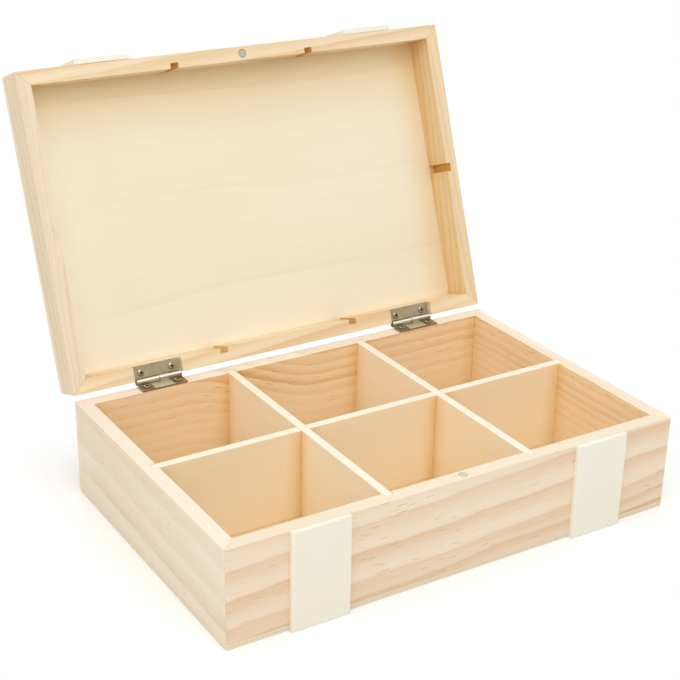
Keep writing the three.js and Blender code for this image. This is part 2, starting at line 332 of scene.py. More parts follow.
def pineFinish(name, look):
    finish, tree, shader = newFinish(name)
    own, moved = ownPlace(tree, look["seed"])
    turned = leaningTrunk(tree, own, moved, look)
    radius = vectorCalc(tree, "LENGTH", vectorCalc(tree, "MULTIPLY", turned, (0.0, 1.0, 1.0)))

    # fibres along the grain, pores, and slow patches of warmer wood
    fibre = cloud(tree, stretched(tree, moved, pineGrain["fibre"]), 4.0, 0.6)["Fac"]
    pore = cloud(tree, stretched(tree, moved, pineGrain["pore"]), 2.0, 0.6)["Fac"]
    patch = cloud(tree, stretched(tree, moved, pineGrain["patch"]), 2.0)["Fac"]

    tone = calc(tree, "MULTIPLY", growthRings(tree, own, radius, fibre, look), look["rings"])
    tone = calc(tree, "MULTIPLY_ADD", centred(tree, fibre), look["fibre"], tone)
    tone = calc(tree, "MULTIPLY_ADD", centred(tree, patch), look["patch"], tone)
    if "crowd" in look:  # crowded rings are darker throughout
        crowd = look["crowd"]
        inner = crowd["radius"] - crowd["blend"]
        deeper = spread(tree, radius, crowd["radius"], inner, 0.0, crowd["deeper"], smooth=True)
        tone = calc(tree, "ADD", tone, deeper)
    tone = calc(tree, "ADD", tone, pineGrain["toneBase"], clamp=True)
    dash = resinDashes(tree, turned, moved, look)

    stops = ((0.0, "pale"), (pineGrain["midTone"], "mid"), (1.0, "band"))
    colour = ramp(tree, tone, [(place, srgb(look[key])) for place, key in stops])
    warm = spread(tree, patch, *pineGrain["warmPatch"], 0.0, pineGrain["warmShare"])
    colour = mixColour(tree, warm, colour, srgb(look["warm"]), "MULTIPLY")
    poreShade = spread(tree, pore, *pineGrain["poreRange"], *pineGrain["poreShade"])
    shade = addNode(tree, "CombineColor", {0: poreShade, 1: poreShade, 2: poreShade}).outputs[0]
    colour = mixColour(tree, 1.0, colour, shade, "MULTIPLY")
    colour = mixColour(tree, calc(tree, "MULTIPLY", dash, look["dashShow"]), colour, srgb(look["dash"]))
    if "deepLight" in look:
        colour = paintedDeepLight(tree, own, colour, look)
    colour = sandedRim(tree, tone, colour, look)
    colour = paintedNookShade(tree, own, colour, look)
    colour = paintedGrooveShade(tree, own, colour, look)
    tree.links.new(colour, shader.inputs["Base Color"])

    surface = pineSurface
    rough = calc(tree, "MULTIPLY_ADD", fibre, surface["fibreRough"], surface["rough"])
    rough = calc(tree, "MULTIPLY_ADD", tone, surface["toneRough"], rough)
    tree.links.new(rough, shader.inputs["Roughness"])
    height = calc(tree, "MULTIPLY", fibre, surface["fibreHeight"])
    for rise, share in ((pore, "poreHeight"), (tone, "toneHeight"), (dash, "dashHeight")):
        height = calc(tree, "MULTIPLY_ADD", rise, surface[share], height)
    relief = bumpFrom(tree, height, surface["relief"], surface["reliefShare"])
    tree.links.new(relief, shader.inputs["Normal"])
    shader.inputs["Specular IOR Level"].default_value = surface["specular"]
    return finish


# thin board of pale veneers: a few faint long lines on the faces, layers on the edges
veneerGrain = {
    "swayAcross": (0.014, 0.014), "streak": (0.012, 0.45, 0.45), "pore": (0.12, 2.6, 2.6),
    "patch": (0.007, 0.011, 0.011), "core": (0.9, 0.9, 0.9),
    "lineProfile": [(0.0, 0.0), (0.55, 0.05), (0.92, 0.4), (0.98, 1.0), (1.0, 0.0)],
    "luckyLine": 0.2, "poreTone": 0.14, "toneBase": 0.2,
    "warmPatch": (0.35, 0.7), "warmShare": 0.4,
    "coreBlur": 0.12, "coreTones": (0.25, 0.8),
}
veneerSurface = {
    "rough": 0.46, "streakRough": 0.16, "streakHeight": 0.6, "poreHeight": 0.7,
    "relief": 0.05, "reliefShare": 0.5, "specular": 0.3,
}


def coreLayer(tree, own, look):
    # the cross veneers inside show only where an edge is cut
    depth = calc(tree, "ABSOLUTE", axisOf(tree, own, look["layerAxis"]))
    half, blur = look["coreHalf"], veneerGrain["coreBlur"]
    return spread(tree, depth, half - blur, half + blur, 1.0, 0.0)


def veneerLines(tree, moved, look):
    # long lines that sway a little, each with its own strength
    slowness, swayDepth = look["sway"]
    sway = cloud(tree, stretched(tree, moved, (slowness, *veneerGrain["swayAcross"])), 2.0)["Fac"]
    across = axisOf(tree, moved, look["figureAxis"])
    count = calc(tree, "MULTIPLY_ADD", across, 1 / look["lineGap"], look["linePhase"])
    count = calc(tree, "MULTIPLY_ADD", sway, swayDepth, count)
    lines = ramp(tree, calc(tree, "FRACT", count), veneerGrain["lineProfile"])
    lineLuck = luck(tree, calc(tree, "FLOOR", count))
    strength = spread(tree, lineLuck, veneerGrain["luckyLine"], 1.0, look["faintest"])
    return calc(tree, "MULTIPLY", lines, strength)


def veneerFinish(name, look):
    finish, tree, shader = newFinish(name)
    own, moved = ownPlace(tree, look["seed"])
    streak = cloud(tree, stretched(tree, moved, veneerGrain["streak"]), 3.0, 0.6)["Fac"]
    pore = cloud(tree, stretched(tree, moved, veneerGrain["pore"]), 2.0)["Fac"]
    patch = cloud(tree, stretched(tree, moved, veneerGrain["patch"]), 1.5)["Fac"]

    tone = calc(tree, "MULTIPLY", veneerLines(tree, moved, look), look["lines"])
    tone = calc(tree, "MULTIPLY_ADD", centred(tree, streak), look["streak"], tone)
    tone = calc(tree, "MULTIPLY_ADD", centred(tree, pore), veneerGrain["poreTone"], tone)
    tone = calc(tree, "ADD", tone, veneerGrain["toneBase"], clamp=True)
    colour = ramp(tree, tone, [(0.0, srgb(look["pale"])), (1.0, srgb(look["band"]))])
    warm = spread(tree, patch, *veneerGrain["warmPatch"], 0.0, veneerGrain["warmShare"])
    colour = mixColour(tree, warm, colour, srgb(look["warm"]), "MULTIPLY")
    if "paintedEdgeLight" in look:
        colour = paintedEdgeLight(tree, own, colour, look)
    if "core" in look:
        coreGrain = cloud(tree, stretched(tree, moved, veneerGrain["core"]), 3.0, 0.7)["Fac"]
        tones = zip(veneerGrain["coreTones"], ("core", "coreDark"))
        coreColour = ramp(tree, coreGrain, [(place, srgb(look[key])) for place, key in tones])
        shown = calc(tree, "MULTIPLY", coreLayer(tree, own, look), look["coreShow"])
        colour = mixColour(tree, shown, colour, coreColour)
    if "deepLight" in look:
        colour = paintedDeepLight(tree, own, colour, look)
    if "rim" in look:
        colour = sandedRim(tree, tone, colour, look)
        level = spread(tree, calc(tree, "ABSOLUTE", facing(tree, "Z")), *faceTurn["rimCore"])
        shown = calc(tree, "MULTIPLY", coreLayer(tree, own, look), level)
        colour = mixColour(tree, shown, colour, srgb(look["rimCore"]))
    if "nooks" in look:
        colour = paintedNookShade(tree, own, colour, look)
    tree.links.new(colour, shader.inputs["Base Color"])

    surface = veneerSurface
    rough = calc(tree, "MULTIPLY_ADD", streak, surface["streakRough"], surface["rough"])
    tree.links.new(rough, shader.inputs["Roughness"])
    height = calc(tree, "MULTIPLY", streak, surface["streakHeight"])
    height = calc(tree, "MULTIPLY_ADD", pore, surface["poreHeight"], height)
    relief = bumpFrom(tree, height, surface["relief"], surface["reliefShare"])
    tree.links.new(relief, shader.inputs["Normal"])
    shader.inputs["Specular IOR Level"].default_value = surface["specular"]
    return finish


# board pieces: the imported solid, put in its own frame with its grain along local X
grainTurn = {
    "x": Matrix.Identity(4),
    "y": Matrix.Rotation(math.pi / 2, 4, "Z"),
    "z": Matrix.Rotation(-math.pi / 2, 4, "Y"),
}
endMargin = 0.1  # a point this near to a board's end, in millimetres, is part of the end
weldGap = 0.002  # millimetres
flatTurn = 0.5  # degrees between faces that are one flat side
sharpTurn = 40  # degrees at an edge that gets eased
softTurn = 35  # degrees up to which shading runs on


def solidInOwnFrame(nodeName, pieceName, grain):
    node = frame["nodes"][nodeName]
    rest = atRest[node["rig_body"]]
    mesh = node.data.copy()
    mesh.name = pieceName
    mesh.materials.clear()
    mesh.transform(rest.inverted())
    spots = [v.co.copy() for v in mesh.vertices]
    low = Vector([min(s[i] for s in spots) for i in range(3)])
    high = Vector([max(s[i] for s in spots) for i in range(3)])
    place = Matrix.Translation((low + high) / 2) @ grainTurn[grain]
    mesh.transform(place.inverted())
    piece = bpy.data.objects.new(pieceName, mesh)
    bpy.context.collection.objects.link(piece)
    piece.matrix_world = rest @ place
    return piece


def halfSizes(mesh):
    return Vector([max(abs(v.co[i]) for v in mesh.vertices) for i in range(3)])


def tidySolid(mesh):
    # one flat face per flat side
    shape = bmesh.new()
    shape.from_mesh(mesh)
    bmesh.ops.remove_doubles(shape, verts=shape.verts, dist=weldGap * mm)
    flat = math.radians(flatTurn)
    bmesh.ops.dissolve_limit(shape, angle_limit=flat, verts=shape.verts, edges=shape.edges)
    return shape


def easeArrises(piece, shape, easing, width, steps=3):
    # easing gives each sharp edge its share of the full width
    layer = shape.edges.layers.float.new("bevel_weight_edge")
    for edge in shape.edges:
        if edge.is_manifold and edge.calc_face_angle(0.0) > math.radians(sharpTurn):
            edge[layer] = easing(edge)
            edge.smooth = edge[layer] > 0
    shape.to_mesh(piece.data)
    shape.free()
    for face in piece.data.polygons:
        face.use_smooth = True
    bevel = piece.modifiers.new("easedArrises", "BEVEL")
    bevel.limit_method = "WEIGHT"
    bevel.width = width * mm
    bevel.segments = steps
    bevel.use_clamp_overlap = True
    evenNormals(piece)


def evenNormals(piece):
    # flat sides stay flat, only the eased edges turn
    even = piece.modifiers.new("evenNormals", "WEIGHTED_NORMAL")
    even.weight = 100
    even.keep_sharp = True


def seat(piece, nodeName, finish):
    piece.data.materials.append(finish)
    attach(piece, frame["nodes"][nodeName]["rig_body"])
    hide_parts(nodeName)


# walls and lid rails: mitred ends drawn together, edges sanded round along their whole length
def roundedBar(name, half, radii, steps=5):
    outline = []
    sides = ((1, 1), (-1, 1), (-1, -1), (1, -1))
    for (sideY, sideZ), radius in zip(sides, radii):
        start = math.atan2(sideZ, sideY) - math.pi / 4
        for step in range(steps + 1):
            angle = start + step / steps * math.pi / 2
            outline.append((
                sideY * (half.y - radius) + radius * math.cos(angle),
                sideZ * (half.z - radius) + radius * math.sin(angle),
            ))
    count = len(outline)
    spots = [(x, y, z) for x in (-half.x, half.x) for y, z in outline]
    faces = [tuple(range(count))[::-1], tuple(range(count, 2 * count))]
    faces += [(i, (i + 1) % count, (i + 1) % count + count, i + count) for i in range(count)]
    mesh = bpy.data.meshes.new(name)
    mesh.from_pydata(spots, [], faces)
    shape = bmesh.new()
    shape.from_mesh(mesh)
    bmesh.ops.recalc_face_normals(shape, faces=shape.faces)
    shape.to_mesh(mesh)
    shape.free()
    bar = bpy.data.objects.new(name, mesh)
    bpy.context.collection.objects.link(bar)
    return bar


def keepInside(piece, bar):
    bar.matrix_world = piece.matrix_world
    cut = piece.modifiers.new("sanding", "BOOLEAN")
    cut.operation = "INTERSECT"
    cut.solver = "EXACT"
    cut.object = bar
    bpy.context.view_layer.update()
    solved = piece.evaluated_get(bpy.context.evaluated_depsgraph_get())
    sanded = bpy.data.meshes.new_from_object(solved)
    piece.modifiers.clear()
    old = piece.data
    piece.data = sanded
    bpy.data.meshes.remove(old)
    barMesh = bar.data
    bpy.data.objects.remove(bar)
    bpy.data.meshes.remove(barMesh)


def softShade(piece):
    for face in piece.data.polygons:
        face.use_smooth = True
    piece.data.set_sharp_from_angle(angle=math.radians(softTurn))
    evenNormals(piece)


def makeWall(wall):
    piece = solidInOwnFrame(wall["node"], wall["piece"], wall["grain"])
    shape = tidySolid(piece.data)
    half = halfSizes(piece.data)
    mitreStart = half.x - 2 * half.y - wall["mitreSlack"] * mm
    for vert in shape.verts:
        if abs(vert.co.x) > mitreStart:
            vert.co.x += math.copysign(wall["mitreClose"] * mm, vert.co.x)
        if vert.co.z * wall["rimSide"] < -half.z + endMargin * mm:
            vert.co.z -= wall["rimSide"] * wall["panelClose"] * mm
    shape.to_mesh(piece.data)
    shape.free()
    rim, joint = wall["rimEase"] * mm, wall["jointEase"] * mm
    radii = (rim, rim, joint, joint) if wall["rimSide"] > 0 else (joint, joint, rim, rim)
    clear = wall["barClear"] * mm  # the bar stands just off the flat sides, so only the corners are cut
    size = Vector((half.x + wall["barOver"] * mm, half.y + clear, half.z + wall["panelClose"] * mm + clear))
    keepInside(piece, roundedBar("sandingBar", size, radii))
    softShade(piece)
    seat(piece, wall["node"], pineFinish(wall["piece"] + "Pine", wall["pine"]))


wallShape = {
    "rimEase": 0.7, "jointEase": 0.12, "mitreClose": 0.14, "mitreSlack": 1.0, "panelClose": 0.2,
    "barClear": 0.004, "barOver": 5.0,
}

# a nook is an axis, a place along it, the share of the painted warm shade there, and its reach
cornerReach = 12.0
longSpots = [side * spot for side in (-1, 1) for spot in (insideX, dividerNear, dividerFar)]
shortSpots = [side * spot for side in (-1, 1) for spot in (insideY, dividerHalf)]
longNooks = [("X", spot, 0.5, cornerReach) for spot in longSpots]
shortNooks = [("X", spot, 0.35, cornerReach) for spot in shortSpots]
longGroove = {"nooks": longNooks, "groove": (dividerNear + dividerFar) / 2}
shortGroove = {"nooks": shortNooks, "groove": 0.0}
boardPine = {
    "pale": "#F5E6D0", "mid": "#EFDABF", "band": "#E3BC93", "warm": "#FAEEDF", "dash": "#B0875F",
    "rim": "#F2E8D3", "rimPale": 0.6, "rimGrain": 0.3, "nookShade": "#F6E3BE", "grooveShade": "#F6E4C4",
    "rings": 0.88, "fibre": 0.36, "patch": 0.35, "feather": 0.24, "dashes": 1.15, "dashShow": 0.6,
    "ringWidth": 17.0, "phase": 0.0, "edge": 0.08, "weakest": 0.6, "strongest": 1.0, "uneven": 1.1,
    "wave": 10.0, "waveLength": 110.0, "quiver": 1.8,
}
# the walls carry painted light low on their inside faces
wallPine = {**boardPine, "deepLight": (22.0, -14.0, 0.55), "deepLightTone": "#FFEBC6"}
orangePine = {
    **wallPine, "pale": "#F9DFB7", "mid": "#F4CF9E", "band": "#E2AC74", "dash": "#B5814F",
    "edge": 0.1, "rings": 0.8, "weakest": 0.2, "rim": "#F3EDDB", "rimPale": 0.85,
    "dashes": 1.4, "dashShow": 0.7,
}

frontWall = {
    "node": "front_wall", "piece": "frontWall", "grain": "x", "rimSide": 1, **wallShape,
    "pine": {**wallPine, **longGroove, "inside": ("Y", 1.0), "seed": 1.0, "pith": (25.0, -90.0),
             "lean": (2.2, 0.6), "ringWidth": 16.1, "phase": -0.12, "uneven": 0.0,
             "crowd": {"radius": 82.4, "extra": 0.0542, "deeper": 0.32, "blend": 7.0},
             "rings": 0.8, "dashes": 1.3, "rim": "#EBE2CB", "rimPale": 0.8},
}
backWall = {
    "node": "back_wall", "piece": "backWall", "grain": "x", "rimSide": 1, **wallShape,
    "pine": {**orangePine, **longGroove, "inside": ("Y", -1.0), "seed": 2.0, "pith": (22.0, 150.0),
             "lean": (0.0, 0.0), "ringWidth": 7.0, "phase": 0.18, "drop": (-85.0, 20.0, 30.0),
             "uneven": 0.0, "strongest": 0.75, "weakest": 0.35, "boldRing": (16.0, 45.0, 80.0),
             "rings": 1.0, "wave": 4.0, "waveLength": 130.0,
             # painted light: the back rim is paler, to lift the shade that the open lid casts on it
             "pale": "#FBE4C0", "mid": "#F6D3A4", "rim": "#FCF5E5", "rimPale": 0.88},
}
leftWall = {
    "node": "left_wall", "piece": "leftWall", "grain": "y", "rimSide": 1, **wallShape,
    "pine": {**wallPine, **shortGroove, "inside": ("Y", -1.0), "seed": 3.0, "pith": (-30.0, 90.0),
             "lean": (0.0, 0.0), "phase": 0.24, "drop": (-40.0, 50.0, -5.0), "uneven": 0.0,
             "boldRing": (6.0, 60.0, 130.0), "strongest": 0.6, "weakest": 0.3, "edge": 0.12, "rings": 0.6,
             "wave": 8.0, "waveLength": 60.0, "dashShow": 0.7, "fibre": 0.4, "dash": "#B09A78",
             "pale": "#F3E6D2", "mid": "#EBDAC1", "band": "#CDBB97", "rim": "#F4EADB"},
}
rightWall = {
    "node": "right_wall", "piece": "rightWall", "grain": "y", "rimSide": 1, **wallShape,
    "pine": {**orangePine, **shortGroove, "inside": ("Y", 1.0), "seed": 4.0, "pith": (-30.0, 110.0),
             "lean": (-1.0, 0.6), "ringWidth": 5.6, "edge": 0.2, "weakest": 0.55, "uneven": 0.4,
             "wave": 5.0, "quiver": 3.0, "pale": "#FBE6C6", "mid": "#F6D8AE", "band": "#E0AC79"},
}
for wall in (frontWall, backWall, leftWall, rightWall):
    makeWall(wall)
print("walls made")

# painted shade deeper inside the lid rails, where shade falls
railDepthShade = ("Z", 10.0, 0.3, 16.0)
railLong = {**longGroove, "nooks": longNooks + [railDepthShade]}
railShort = {**shortGroove, "nooks": shortNooks + [railDepthShade]}
lidPine = {
    **boardPine, "pale": "#F4E2C2", "mid": "#EDD2A6", "band": "#DCB07A", "dash": "#AD7C4E",
    "grooveShade": "#EFDAAA", "rim": "#F3E3C8", "rimPale": 0.25, "dashes": 0.5, "wave": 5.0,
}
lidFrontRail = {
    "node": "lid_front_rail", "piece": "lidFrontRail", "grain": "x", "rimSide": -1, **wallShape,
    "pine": {**lidPine, **railLong, "inside": ("Y", 1.0), "seed": 5.0, "pith": (62.0, -6.0),
             "lean": (0.6, 4.0), "ringWidth": 9.0},
}
lidBackRail = {
    "node": "lid_back_rail", "piece": "lidBackRail", "grain": "x", "rimSide": -1, **wallShape,
    "pine": {**lidPine, **railLong, "inside": ("Y", -1.0), "seed": 6.0, "pith": (66.0, 8.0),
             "lean": (-0.8, 4.0), "ringWidth": 9.0, "grooveShade": "#F9EFD8", "rim": "#FBE4C0", "rimPale": 0.4,
             "deepLight": (-12.0, 4.0, 0.6), "deepLightTone": "#FBEBCB"},
}
lidLeftRail = {
    "node": "lid_left_rail", "piece": "lidLeftRail", "grain": "y", "rimSide": -1, **wallShape,
    "pine": {**lidPine, **railShort, "inside": ("Y", -1.0), "seed": 7.0, "pith": (-60.0, 44.0),
             "lean": (0.6, -2.2), "ringWidth": 4.2, "edge": 0.2, "rings": 0.6, "grooveShade": "#FFF9EA",
             "pale": "#F0E1C8", "mid": "#E5D1B0", "band": "#CBB088"},
}
lidRightRail = {
    "node": "lid_right_rail", "piece": "lidRightRail", "grain": "y", "rimSide": -1, **wallShape,
    "pine": {**lidPine, **railShort, "inside": ("Y", 1.0), "seed": 8.0, "pith": (-40.0, 34.0),
             "lean": (0.8, 2.4), "ringWidth": 3.6, "edge": 0.25, "rings": 0.5,
             "pale": "#F0DAB4", "mid": "#E6C693", "band": "#D1A364"},
}
for rail in (lidFrontRail, lidBackRail, lidLeftRail, lidRightRail):
    makeWall(rail)
print("lid rails made")

# thin boards: panels, dividers and slats
shortestEased = 1.0  # millimetres


def easedLength(edge):
    return 1.0 if edge.calc_length() > shortestEased * mm else 0.0


def makeThinBoard(board):
    piece = solidInOwnFrame(board["node"], board["piece"], board["grain"])
    shape = tidySolid(piece.data)
    half = halfSizes(piece.data)
    for vert in shape.verts:  # each board reaches what it is glued to, to a hair
        vert.co.y += (board["back"] if vert.co.y > 0 else -board["front"]) * mm
        if abs(vert.co.x) > half.x - endMargin * mm:
            vert.co.x += math.copysign(board["ends"] * mm, vert.co.x)
        if vert.co.z < -half.z + endMargin * mm:
            vert.co.z -= board["foot"] * mm
    easeArrises(piece, shape, easedLength, board["ease"])
    seat(piece, board["node"], veneerFinish(board["piece"] + "Veneer", board["veneer"]))


plainVeneer = {
    "pale": "#F8F0DB", "band": "#E5D3AF", "warm": "#FAF4E6", "figureAxis": "Y", "streak": 0.22,
    "lines": 0.3, "lineGap": 44.0, "linePhase": 0.0, "faintest": 0.0, "sway": (0.006, 2.2),
}
plyVeneer = {
    **plainVeneer, "core": "#F0DFC0", "coreDark": "#D9BE94",
    "layerAxis": "Z", "coreHalf": 0.55, "coreShow": 0.7,
}
panelShape = {"grain": "x", "ease": 0.4, "slot": "plywood",
              "back": 0.0, "front": 0.0, "foot": 0.0, "ends": 0.0}
# painted shade on the lid panel's inside: under the front rail, beside a side rail, and where the panel shows
# at the bottom of a groove
panelNooks = [
    ("Y", -insideY, 0.7, 52.0), ("X", insideX, 0.5, 24.0),
    ("X", insideX + 3.0, 2.0, 4.0),  # where the panel shows at the bottom of a groove
]
lidPanel = {
    "node": "lid_panel", "piece": "lidPanel", **panelShape,
    "veneer": {**plyVeneer, "seed": 11.0, "lines": 0.2, "lineGap": 65.0, "linePhase": 0.44,
               "faintest": 0.5, "sway": (0.0035, 0.6), "paintedEdgeLight": (-insideX, 46.0), "edgeLightTone": "#FFF7E0",
               "inside": ("Z", -1.0), "nookShade": "#F6E6C6", "nooks": panelNooks},
}
bottomPanel = {
    "node": "bottom_panel", "piece": "bottomPanel", **panelShape,
    "veneer": {**plyVeneer, "seed": 12.0, "pale": "#F1E4CE", "band": "#E2D0B0", "core": "#E8D7BD",
               "coreDark": "#DAC4A0", "lines": 0.55, "lineGap": 26.0, "inside": ("Z", 1.0),
               # painted shade covers the whole inside face of the bottom, darker and warmer deep in the box
               "nookShade": "#FAEBCC", "nooks": [("X", 0.0, 1.0, 4 * insideX)]},  # wide enough to warm it all
}
dividerShape = {"ease": 0.35, "slot": "divider_wood",
                "back": 0.15, "front": 0.15, "foot": 0.25, "ends": 0.2}
dividerVeneer = {
    **plyVeneer, "pale": "#FCEBCC", "band": "#EED4A6", "warm": "#FBEFDB", "lineGap": 21.0,
    "figureAxis": "Z", "layerAxis": "Y", "coreHalf": 0.9, "core": "#F9ECD3", "coreDark": "#EBD5AF",
    "coreShow": 0.6, "rim": "#F4EDDC", "rimPale": 0.8, "rimGrain": 0.3, "rimCore": "#F2ECDC",
    "inside": ("Y", 0), "nookShade": "#F5E0B8", "deepLight": (20.0, -12.0, 0.7), "deepLightTone": "#FFEFD0",
}
longDivider = {
    "node": "long_divider", "piece": "longDivider", "grain": "x", **dividerShape,
    "veneer": {**dividerVeneer, "nooks": longNooks, "seed": 13.0},
}
leftShortDivider = {
    "node": "left_short_divider", "piece": "leftShortDivider", "grain": "y", **dividerShape,
    "veneer": {**dividerVeneer, "nooks": shortNooks, "seed": 14.0, "rimCore": "#EBECDF",
               "pale": "#FEF0D6", "band": "#F1DAB0"},
}
rightShortDivider = {
    "node": "right_short_divider", "piece": "rightShortDivider", "grain": "y", **dividerShape,
    "veneer": {**dividerVeneer, "nooks": shortNooks, "seed": 15.0, "rimCore": "#EDECDE",
               "pale": "#FEEED2", "band": "#F0D8AC"},
}
for board in (lidPanel, bottomPanel, longDivider, leftShortDivider, rightShortDivider):
    makeThinBoard(board)
print("panels and dividers made")

slatShape = {"grain": "z", "ease": 0.7, "slot": "slat_wood",
             "back": 0.2, "front": 0.0, "foot": 0.0, "ends": 0.0}
slatVeneer = {
    **plainVeneer, "pale": "#F6F2E4", "band": "#E9E1CD", "warm": "#FBF8EF", "streak": 0.25,
    "lines": 0.12, "lineGap": 13.0,
}
slatSeeds = {"left_front_slat": 21.0, "right_front_slat": 22.0, "left_lid_slat": 23.0, "right_lid_slat": 24.0}
for nodeName, seed in slatSeeds.items():
    veneer = {**slatVeneer, "seed": seed}
    makeThinBoard({"node": nodeName, "piece": nodeName + "_trim", **slatShape, "veneer": veneer})
print("slats made")

# plated metal: hinge leaves, pins, screws and the two catch magnets
plateGrain = {
    "smear": (0.25, 0.25, 0.25), "brushTone": 0.3, "tones": (0.2, 0.8), "highlightShare": 0.9,
    "crossShade": (0.12, 0.3), "smearRough": 0.08, "relief": 0.006, "reliefShare": 0.3,
}


def platedFinish(name, look):
    finish, tree, shader = newFinish(name)
    own, moved = ownPlace(tree, look["seed"])
    brush = cloud(tree, stretched(tree, moved, look["brush"]), 3.0, 0.6)["Fac"]
    smear = cloud(tree, stretched(tree, moved, plateGrain["smear"]), 3.0, 0.6)["Fac"]
    tone = calc(tree, "MULTIPLY_ADD", centred(tree, brush), plateGrain["brushTone"], smear)
    tones = zip(plateGrain["tones"], ("dark", "bright"))
    colour = ramp(tree, tone, [(place, srgb(look[key])) for place, key in tones])

    # painted shade darkens the thin sides, and a painted highlight brightens the side that faces up to the
    # lamps
    flat = calc(tree, "ABSOLUTE", facing(tree, "Z"))
    old = spread(tree, flat, *faceTurn["sideShade"], 0.0, look["sideShade"], smooth=True)
    colour = mixColour(tree, old, colour, srgb(look["old"]))
    turn = addNode(tree, "TexCoord").outputs["Normal"]
    highlight = vectorCalc(tree, "DOT_PRODUCT", turn, look["highlight"])
    highlight = spread(tree, highlight, *faceTurn["highlight"], 0.0, plateGrain["highlightShare"], smooth=True)
    colour = mixColour(tree, highlight, colour, srgb(look["new"]))
    if "middleReflection" in look:  # a painted reflection also brightens the middle of a flat leaf
        off = calc(tree, "ABSOLUTE", axisOf(tree, own, "X"))
        reflected = spread(tree, off, *look["middleReflection"], 1.0, 0.0, smooth=True)
        reflected = calc(tree, "MULTIPLY", reflected, spread(tree, facing(tree, "Z"), *faceTurn["reflected"]))
        colour = mixColour(tree, reflected, colour, srgb(look["new"]))
    if "crossTop" in look:  # the driver's cross is full of shade
        height = calc(tree, "ABSOLUTE", axisOf(tree, own, "Z"))
        start, full = (look["crossTop"] - depth for depth in plateGrain["crossShade"])
        out = vectorCalc(tree, "LENGTH", vectorCalc(tree, "MULTIPLY", own, (1.0, 1.0, 0.0)))
        within = calc(tree, "LESS_THAN", out, look["crossReach"])
        sunk = calc(tree, "MULTIPLY", spread(tree, height, start, full), within)
        colour = mixColour(tree, sunk, colour, srgb(look["shade"]))
    tree.links.new(colour, shader.inputs["Base Color"])
    shader.inputs["Metallic"].default_value = 1.0
    rough = calc(tree, "MULTIPLY_ADD", smear, plateGrain["smearRough"], look["rough"])
    tree.links.new(rough, shader.inputs["Roughness"])
    relief = bumpFrom(tree, brush, plateGrain["relief"], plateGrain["reliefShare"])
    tree.links.new(relief, shader.inputs["Normal"])
    return finish


def halfHeight(nodeName):
    # half height of a fitting in millimetres, measured with the lid shut
    node = frame["nodes"][nodeName]
    shut = atRest[node["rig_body"]].inverted()
    heights = [(shut @ v.co).z for v in node.data.vertices]
    return (max(heights) - min(heights)) / 2 / mm


def makeFitting(nodeName, ending, finish, ease):
    piece = solidInOwnFrame(nodeName, nodeName + ending, "x")
    shape = tidySolid(piece.data)
    easeArrises(piece, shape, lambda edge: 1.0, ease, 2)
    seat(piece, nodeName, finish)


# painted light on the plating: old is the colour of the painted side shade, new that of the painted highlight
# and reflection
paintedPlateLight = {"old": "#5E523F", "new": "#FDF9EE", "sideShade": 0.7}
leafPlate = {**paintedPlateLight, "brush": (0.15, 5.0, 5.0), "rough": 0.28}
screwPlate = {**paintedPlateLight, "brush": (1.5, 1.5, 1.5), "dark": "#9C8D70", "bright": "#CDBE9E", "rough": 0.22,
              "shade": "#33291C", "crossReach": 1.5}
hingePlate = {
    "base_leaf": {**leafPlate, "seed": 31.0, "dark": "#99886A", "bright": "#BFAF8E", "sideShade": 0.2,
                  "highlight": (0.0, -0.5, 0.87), "middleReflection": (5.5, 7.5)},
    "lid_leaf": {**leafPlate, "seed": 35.0, "dark": "#948669", "bright": "#B9AB8D",
                 "highlight": (0.0, -0.65, -0.77)},
    "base_screw": {**screwPlate, "seed": 32.0, "highlight": (-0.2, 0.3, 0.93),
                   "crossTop": halfHeight("left_hinge_base_screw_left")},
    "lid_screw": {**screwPlate, "seed": 36.0, "highlight": (-0.4, -0.5, -0.77), "new": "#DDD0B2",
                  "dark": "#8C7C5E", "bright": "#B7A785",
                  "crossTop": halfHeight("left_hinge_lid_screw_left")},
    "pin": {**paintedPlateLight, "seed": 33.0, "brush": (0.4, 4.0, 4.0), "dark": "#8C7D63", "bright": "#B0A183",
            "rough": 0.24, "highlight": (0.0, -0.5, 0.87)},
}
hingeEase = {"leaf": 0.15, "screw": 0.08, "pin": 0.15}
hingeFinish = {part: platedFinish(part + "_plate", look) for part, look in hingePlate.items()}


def makeHingePart(nodeName, part):
    ease = hingeEase[part.split("_")[-1]]
    makeFitting(nodeName, "_plated", hingeFinish[part], ease)


for side in ("left", "right"):
    makeHingePart(side + "_hinge_pin", "pin")
    for half in ("base", "lid"):
        makeHingePart(f"{side}_hinge_{half}_leaf", half + "_leaf")
        for end in ("left", "right"):
            makeHingePart(f"{side}_hinge_{half}_screw_{end}", half + "_screw")
print("hinges made")

catchMagnet = {
    "plate": {"seed": 34.0, "brush": (1.0, 1.0, 1.0), "dark": "#CECFBB", "bright": "#EAEAD5", "rough": 0.4,
              "old": "#7C7C72", "new": "#F2F2EA", "sideShade": 0.6, "highlight": (-0.5, 0.3, 0.81)},
    # painted shade: the lid magnet is a darker copy of the same plating, as it faces the front rather than up
    "lidShadeTones": {"dark": "#AFAB96", "bright": "#C7C2AB", "new": "#D6D2C0"},
    "ease": 0.12,
}
magnetFinish = {
    "base_magnet": platedFinish("baseMagnetPlate", catchMagnet["plate"]),
    "lid_magnet": platedFinish("lidMagnetPlate", {**catchMagnet["plate"], **catchMagnet["lidShadeTones"]}),
}
for nodeName, finish in magnetFinish.items():
    makeFitting(nodeName, "_disc", finish, catchMagnet["ease"])
print("magnets made")

